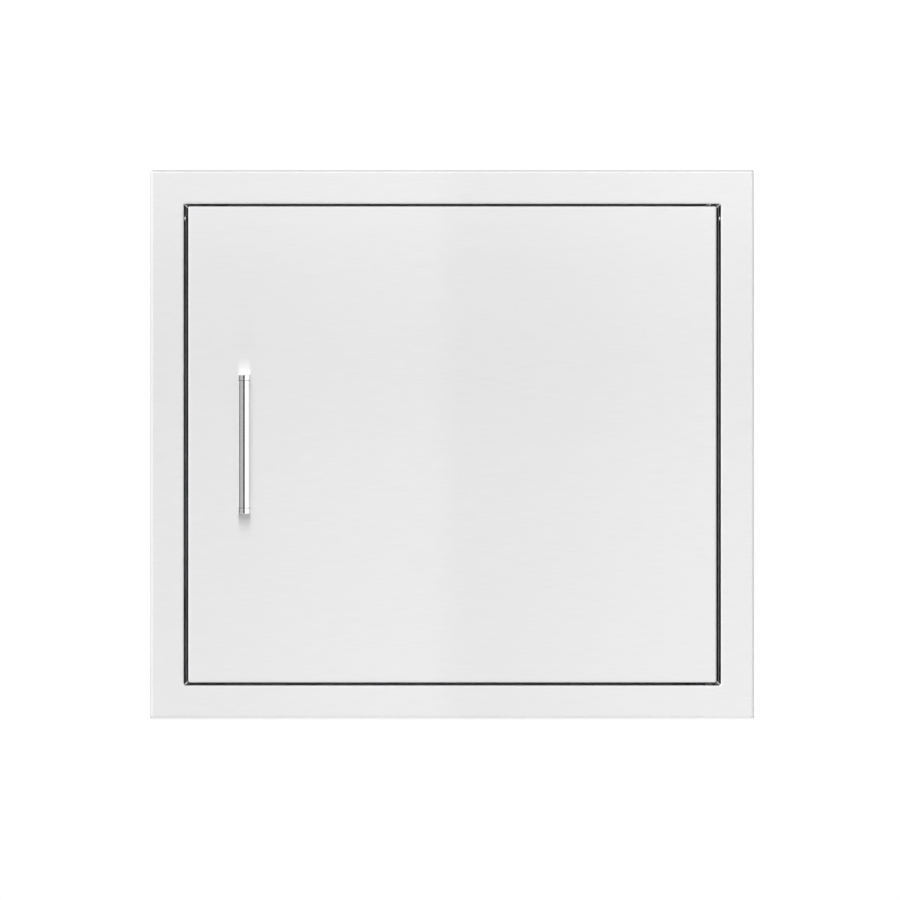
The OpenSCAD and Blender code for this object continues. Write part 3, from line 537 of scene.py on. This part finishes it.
def handle_ends():
    """End pieces of the handle, round in front and flat-sided towards the door. A dark bead in a
    groove where each one meets the bar shows as a fine line, painted shade for the joint."""
    bar_r = 6 * MM
    thick = 6 * MM
    bead_h = 0.4 * MM
    bead_deep = 0.5 * MM
    bead_sides = 64
    spigot_r = 4.95 * MM
    bore_r = 1.55 * MM
    bore_deep = 9 * MM
    low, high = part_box("handle_end_upper")
    nose_r = (high[0] - low[0]) / 2
    axis_y = low[1] + nose_r
    foot = high[1] - axis_y
    spigot = high[2] - low[2] - thick

    def block(shape):
        break_in = 0.1 * MM
        straight = 0.05 * MM
        round_out = 0.35 * MM
        round_steps = 6
        arc_steps = 36
        layers = [(0, break_in), (break_in, 0), (break_in + straight, 0),
                  (thick - round_out - straight, 0)]
        for i in range(round_steps + 1):
            angle = math.pi / 2 * i / round_steps
            layers.append((thick - round_out * (1 - math.sin(angle)),
                           round_out * (1 - math.cos(angle))))
        rims = []
        for height, inset in layers:
            reach = nose_r - inset
            outline = [(reach * math.cos(a), reach * math.sin(a)) for a in
                       [math.pi * (1 + i / arc_steps) for i in range(arc_steps + 1)]]
            outline += [(reach, foot), (-reach, foot)]
            rims.append([shape.verts.new((x, y, height)) for x, y in outline])
        for first, second in zip(rims, rims[1:]):
            bridge(shape, first, second)
        shape.faces.new(rims[0])
        shape.faces.new(rims[-1])

    def plug(shape):
        turn_profile(shape, [(0, -spigot), (spigot_r, -spigot), (spigot_r, thick / 2),
                             (0, thick / 2)])

    def bore(shape):
        turn_profile(shape, [(0, -bore_deep), (bore_r, -bore_deep), (bore_r, bore_deep),
                             (0, bore_deep)])
        bmesh.ops.transform(shape, verts=shape.verts,
                            matrix=Matrix.Translation((0, foot, thick / 2))
                            @ Matrix.Rotation(math.pi / 2, 4, "X"))

    def ring(outer, start):
        def build(shape):
            inner = bar_r - bead_deep
            turn_profile(shape, [(inner, start), (outer, start), (outer, bead_h), (inner, bead_h),
                                 (inner, start)], bead_sides)
            bmesh.ops.remove_doubles(shape, verts=shape.verts, dist=TOUCHING)
        return build

    end_piece = mesh_piece("handle_end_shape", block, bar_steel)
    combine(end_piece, plug, "UNION")
    combine(end_piece, bore)
    combine(end_piece, ring(nose_r + bead_h, -bead_h))
    # A dark ring in the joint's groove: painted shade, the shadow line of the joint
    painted_shade_line = mesh_piece("handle_painted_shade_line_shape", ring(bar_r, 0), rubber_and_painted_shade)
    for node, turn in (("handle_end_upper", 0), ("handle_end_lower", math.pi)):
        low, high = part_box(node)
        seat = low[2] + thick if turn else high[2] - thick
        place = (Matrix.Translation(((low[0] + high[0]) / 2, axis_y, seat))
                 @ Matrix.Rotation(turn, 4, "Y"))
        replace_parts(put_copy(end_piece, f"{node}_piece", place, "door"), node)
        put_copy(painted_shade_line, f"{node}_bead", place, "door")
    bpy.data.objects.remove(end_piece)
    bpy.data.objects.remove(painted_shade_line)


def rubber_bumpers():
    """Bumpers with a soft rounded face, a neck through the stop and a barbed tail."""
    stop_y = 12 * MM
    sheet = 1.2 * MM
    stem_r = 2 * MM
    shoulder = 0.3 * MM
    corner = 1.1 * MM
    corner_steps = 8
    sides = 48
    barb_r = 1.3 * stem_r
    barb_edge = 0.2 * MM
    tail_r = 0.9 * stem_r
    tip_r = 0.8 * stem_r
    tip_h = 0.1 * MM
    found = solids("bumpers")
    low, high = found[0]
    head_r = (high.z - low.z) / 2
    head_h = stop_y - low.y
    end = high.y - stop_y
    profile = [(0, -head_h)]
    for i in range(corner_steps + 1):
        angle = math.pi / 2 * i / corner_steps
        profile.append((head_r - corner + corner * math.sin(angle),
                        corner - head_h - corner * math.cos(angle)))
    profile += [(head_r, -shoulder), (head_r - shoulder, 0), (stem_r, 0), (stem_r, sheet),
                (barb_r, sheet), (barb_r, sheet + barb_edge), (tail_r, end - tip_h),
                (tip_r, end), (0, end)]
    bumper = mesh_piece("bumpers_shape", lambda shape: turn_profile(shape, profile, sides), rubber_and_painted_shade)
    places = [(Vector(((a.x + b.x) / 2, stop_y, (a.z + b.z) / 2)), Vector((0, 1, 0)))
              for a, b in found]
    place_copies(bumper, "bumpers", "frame", places)


def soften(width, *names):
    """Rounds the edges of CAD nodes a little, as moulding, casting or deburring does. Their
    faces don't share corners yet, so these are joined first."""
    for name in names:
        piece = nodes[name]
        joined = piece.modifiers.new("weld", "WELD")
        joined.merge_threshold = TOUCHING
        edge = piece.modifiers.new("edge", "BEVEL")
        edge.width = width
        edge.segments = 3
        edge.limit_method = "ANGLE"
        edge.angle_limit = math.radians(40)
        edge.harden_normals = True


def coil_spring():
    """Compression spring of round wire. Its end turns lie close together."""
    wire_r = 0.5 * MM
    turns = 8
    rings_per_turn = 36
    sides = 12
    low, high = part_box("pin_spring")
    coil_r = (high[0] - low[0]) / 2 - wire_r
    height = high[2] - low[2]
    end_pitch = 2.05 * wire_r
    open_pitch = (height - 2 * wire_r - 2 * end_pitch) / (turns - 2)

    def rise(turn):
        if turn < 1:
            return turn * end_pitch
        if turn > turns - 1:
            return height - 2 * wire_r - (turns - turn) * end_pitch
        return end_pitch + (turn - 1) * open_pitch

    def build(shape):
        rings = []
        for i in range(turns * rings_per_turn + 1):
            angle = math.tau * i / rings_per_turn
            ring = []
            for k in range(sides):
                a = math.tau * k / sides
                out = coil_r + wire_r * math.cos(a)
                up = wire_r + rise(i / rings_per_turn) + wire_r * math.sin(a)
                ring.append(shape.verts.new((out * math.cos(angle), out * math.sin(angle), up)))
            rings.append(ring)
        for first, second in zip(rings, rings[1:]):
            bridge(shape, first, second)
        shape.faces.new(rings[0])
        shape.faces.new(rings[-1])

    coil = mesh_piece("pin_spring_coil", build, spring_steel)
    foot = Vector(((low[0] + high[0]) / 2, (low[1] + high[1]) / 2, low[2]))
    coil.location = foot
    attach(coil, "door")
    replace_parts(coil, "pin_spring")
    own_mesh(coil)


def plain_floor():
    """Pale round floor below the part."""
    radius = 1.2
    drop = 1.0
    bpy.ops.mesh.primitive_circle_add(vertices=96, radius=radius, fill_type="TRIFAN",
                                      location=(0, 0, -drop))
    floor = bpy.context.object
    floor.name = "floor"
    paint = plain_finish("matt_white_paint", "f4f4f4", "f7f7f7", roughness=0.8, cell=3 * MM,
                         metallic=0.0)
    fill(paint.node_tree, paint.node_tree.nodes["Principled BSDF"],
         {"Emission Color": (1, 1, 1, 1), "Emission Strength": 0.2})
    floor.data.materials.append(paint)


# The studio's brightness round the horizon, by degrees from the camera's side towards +X
HORIZON = [(-180, 1.5), (-125, 1.0), (-112, 0.2), (-84, 0.2), (-78, 0.52), (-18, 0.52),
           (-15, 0.02), (12, 0.02), (17, 1.3), (100, 1.3), (125, 1.0), (180, 1.5)]
# The same away from the horizon
ROUND_ABOUT = [(-180, 1.6), (-130, 1.2), (-110, 0.9), (-75, 1.3), (-20, 1.5), (-4, 1.25),
               (4, 1.25), (20, 0.9), (90, 0.6), (130, 1.1), (180, 1.6)]
# How much of that shows at each elevation, from straight down to straight up
UP_AND_DOWN = [(-90, 1.6), (-42, 1.6), (-40, 0.32), (-16, 0.38), (-2, 0.6), (2, 1.42),
               (18, 1.6), (36, 1.0), (42, 0.6), (90, 0.6)]
# Where the horizon's own values take over
HORIZON_BAND = [(-90, 0), (-3.6, 0), (-2.6, 1), (2.6, 1), (3.6, 0), (90, 0)]


def studio_world():
    """White to the camera. What the steel mirrors gets brighter and darker by direction."""
    top_value = 2.0
    backdrop = 1.02
    world = bpy.data.worlds.new("white_studio")
    world.use_nodes = True
    bpy.context.scene.world = world
    tree = world.node_tree
    tree.nodes.clear()

    def by_angle(angle, whole, stops):
        half = math.radians(whole) / 2
        share = add(tree, "ShaderNodeMapRange", {"Value": angle, "From Min": -half, "From Max": half})
        ramp = add(tree, "ShaderNodeValToRGB", {"Fac": share.outputs["Result"]})
        set_stops(ramp, [(a / whole + 0.5, [v / top_value] * 3 + [1]) for a, v in stops])
        return add(tree, "ShaderNodeMath", {0: ramp.outputs["Color"], 1: top_value},
                   operation="MULTIPLY").outputs["Value"]

    ray = add(tree, "ShaderNodeSeparateXYZ",
              {"Vector": add(tree, "ShaderNodeTexCoord").outputs["Generated"]}).outputs
    forward = add(tree, "ShaderNodeMath", {0: ray["Y"], 1: -1.0}, operation="MULTIPLY")
    turn = add(tree, "ShaderNodeMath", {0: ray["X"], 1: forward.outputs["Value"]},
               operation="ARCTAN2").outputs["Value"]
    rise = add(tree, "ShaderNodeMath", {0: ray["Z"]}, operation="ARCSINE").outputs["Value"]
    away = add(tree, "ShaderNodeMath", {0: by_angle(turn, 360, ROUND_ABOUT),
                                        1: by_angle(rise, 180, UP_AND_DOWN)},
               operation="MULTIPLY").outputs["Value"]
    seen = add(tree, "ShaderNodeMix",
               {"Factor": by_angle(rise, 180, HORIZON_BAND), "A": away,
                "B": by_angle(turn, 360, HORIZON)}, data_type="FLOAT").outputs["Result"]
    to_camera = add(tree, "ShaderNodeLightPath").outputs["Is Camera Ray"]
    strength = add(tree, "ShaderNodeMix", {"Factor": to_camera, "A": seen, "B": backdrop},
                   data_type="FLOAT").outputs["Result"]
    light = add(tree, "ShaderNodeBackground", {"Color": (1, 1, 1, 1), "Strength": strength})
    add(tree, "ShaderNodeOutputWorld", {"Surface": light.outputs["Background"]})


def photo_camera():
    """The photograph's long view, straight at the face."""
    distance = 20.0
    view_w = 907.4 * MM
    sensor = 36 * MM
    face_y = -12 * MM
    side = -2.3 * MM
    height = -5.5 * MM
    data = bpy.data.cameras.new("photo_camera")
    data.sensor_width = sensor / MM
    data.lens = sensor / MM * distance / view_w
    data.clip_end = 10 * distance
    camera = bpy.data.objects.new("photo_camera", data)
    bpy.context.scene.collection.objects.link(camera)
    camera.location = (side, face_y - distance, height)
    camera.rotation_euler = (math.radians(90), 0, 0)
    bpy.context.scene.camera = camera


pan_head_screws("jamb_screws", "frame", None, head_h_ratio=0.45, pitch=1.0 * MM,
                finish=pale_zinc, crown_ratio=0.2)
pan_head_screws("catch_screws", "frame", Vector((0, 1, 0)), head_h_ratio=0.45, pitch=1.0 * MM)
pan_head_screws("handle_screws", "door", Vector((0, -1, 0)), head_h_ratio=0.63, pitch=0.5 * MM)
blind_rivets()
handle_ends()
rubber_bumpers()
soften(0.5 * MM, "upper_catch_housing", "lower_catch_housing")
soften(0.2 * MM, "catch_pole_plates", "catch_magnets", "corner_brackets", "strike_plates",
       "pin_guide", "pin_lever", "lower_hinge_plate")
coil_spring()
plain_floor()
studio_world()
photo_camera()
bpy.context.scene.view_settings.view_transform = "Standard"
